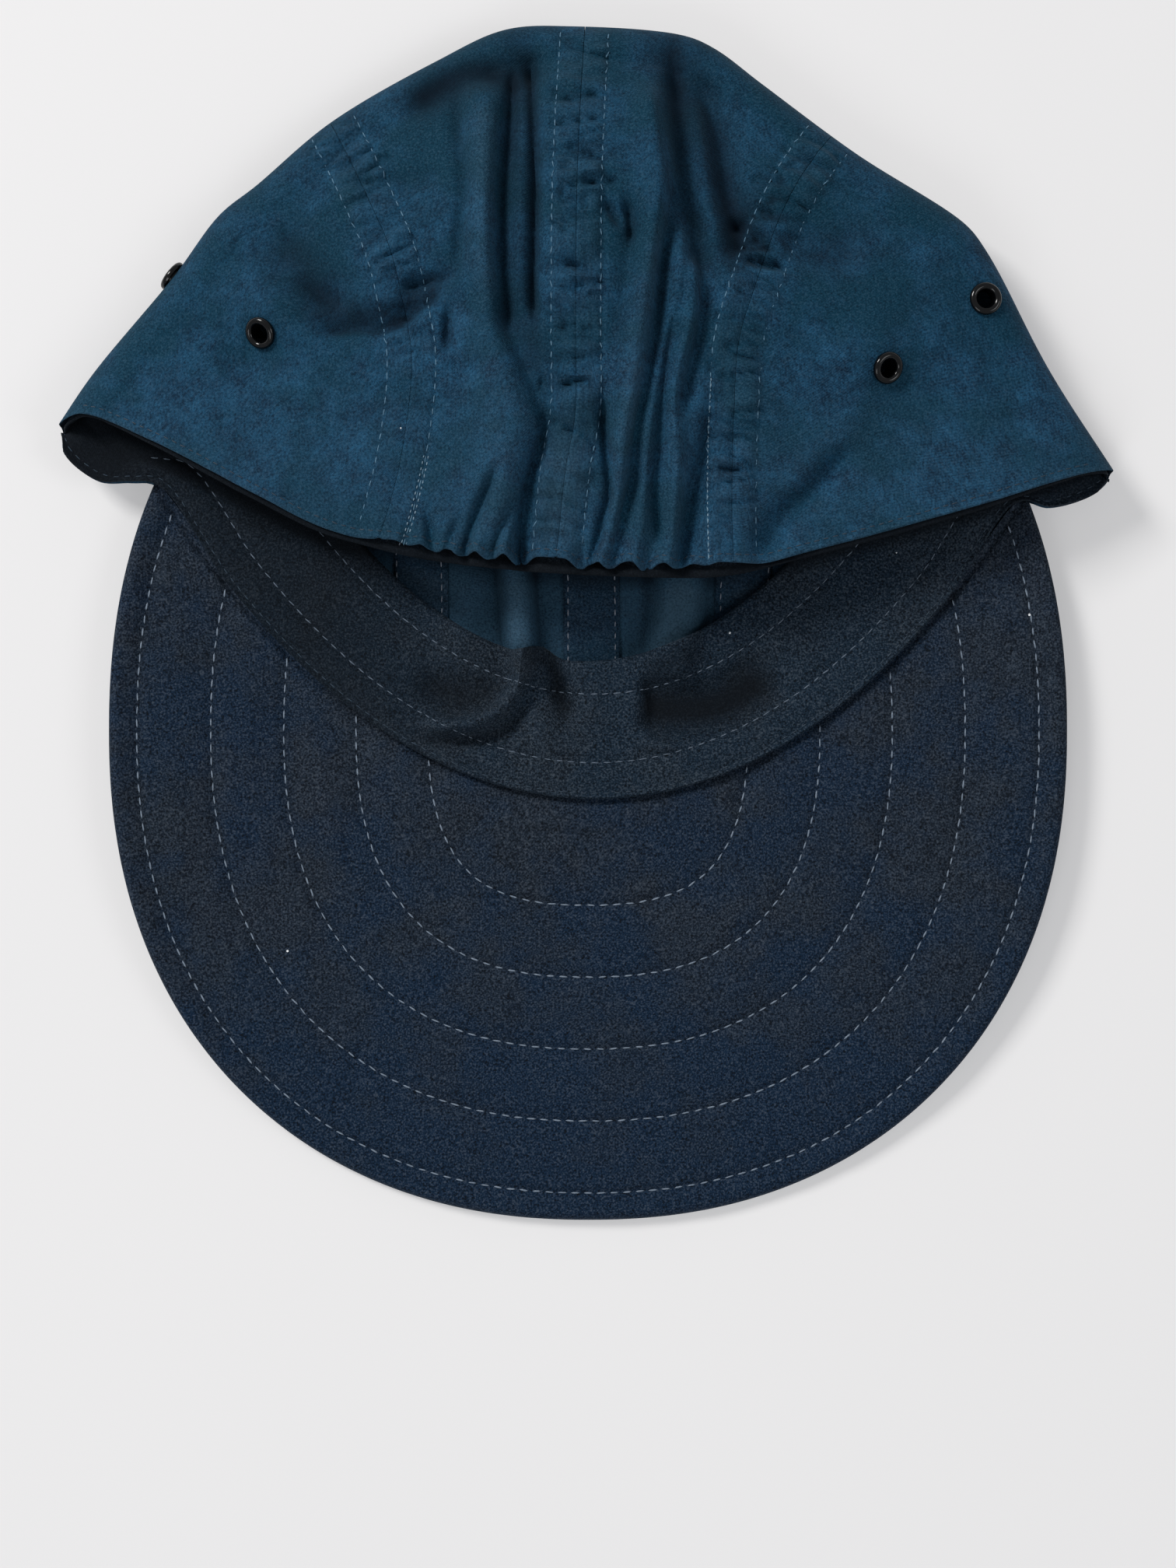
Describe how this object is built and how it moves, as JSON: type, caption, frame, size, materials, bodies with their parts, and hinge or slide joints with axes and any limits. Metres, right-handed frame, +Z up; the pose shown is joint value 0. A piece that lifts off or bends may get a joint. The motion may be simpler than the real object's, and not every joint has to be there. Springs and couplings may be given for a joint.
{
  "type": "four panel cap",
  "caption": "Soft unstructured cap with a long quilted peak, seam tapes, sweatband, gathered back hem and small metal eyelets, lying flat on its front.",
  "frame": {"origin": "the middle of the lying cap's box, on the surface it lies on", "axes": "+Z up from the surface, -Y towards the tip of the peak, +Y towards the top of the crown, +X across the cap"},
  "size_m": [0.2262, 0.2572, 0.0388],
  "materials": {
    "crown_cloth": "blue-green cotton twill",
    "peak_cloth": "dark navy cotton twill",
    "band_cloth": "dark navy cotton twill",
    "eyelet_metal": "gloss black enamel"
  },
  "bodies": {
    "root": {"crown_panel_left_side": "crown_cloth", "crown_panel_left_centre": "crown_cloth", "crown_panel_right_centre": "crown_cloth", "crown_panel_right_side": "crown_cloth", "seam_tape_left": "band_cloth", "seam_tape_centre": "band_cloth", "seam_tape_right": "band_cloth", "sweatband": "band_cloth", "visor_top_cover": "crown_cloth", "visor_under_cover": "peak_cloth", "eyelet_left_inner": "eyelet_metal", "eyelet_left_outer": "eyelet_metal", "eyelet_right_inner": "eyelet_metal", "eyelet_right_outer": "eyelet_metal"}
  },
  "joints": []
}
